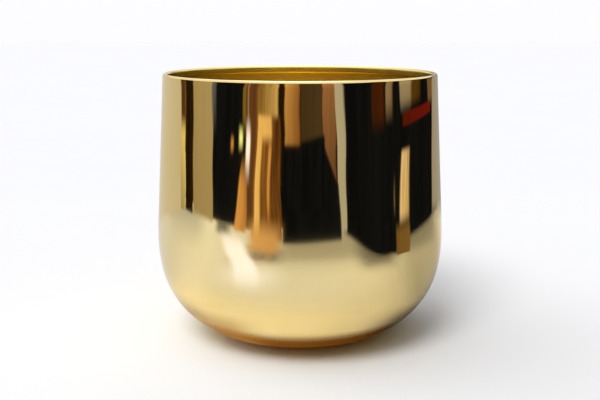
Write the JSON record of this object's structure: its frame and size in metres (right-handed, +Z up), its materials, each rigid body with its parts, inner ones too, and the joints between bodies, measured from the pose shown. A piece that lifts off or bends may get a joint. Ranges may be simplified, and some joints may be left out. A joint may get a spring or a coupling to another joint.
{
  "type": "cachepot",
  "caption": "Round cachepot spun from polished gold-coloured metal, with a slightly tapering wall, a rounded bowl base and a rolled rim. It hides a plant's nursery pot.",
  "frame": {"origin": "on the standing surface, under the middle of the base", "axes": "+Z up along the pot's axis; X and Y lie level, and each pad lies on a diagonal between them"},
  "size_m": [0.14, 0.14, 0.1285],
  "materials": {
    "polished_metal": "mirror polished, with fine lines round the axis",
    "pad_rubber": "matt moulded rubber"
  },
  "bodies": {
    "root": {"outer_shell": "polished_metal", "foot_pad_1": "pad_rubber", "foot_pad_2": "pad_rubber", "foot_pad_3": "pad_rubber", "foot_pad_4": "pad_rubber"}
  },
  "joints": []
}
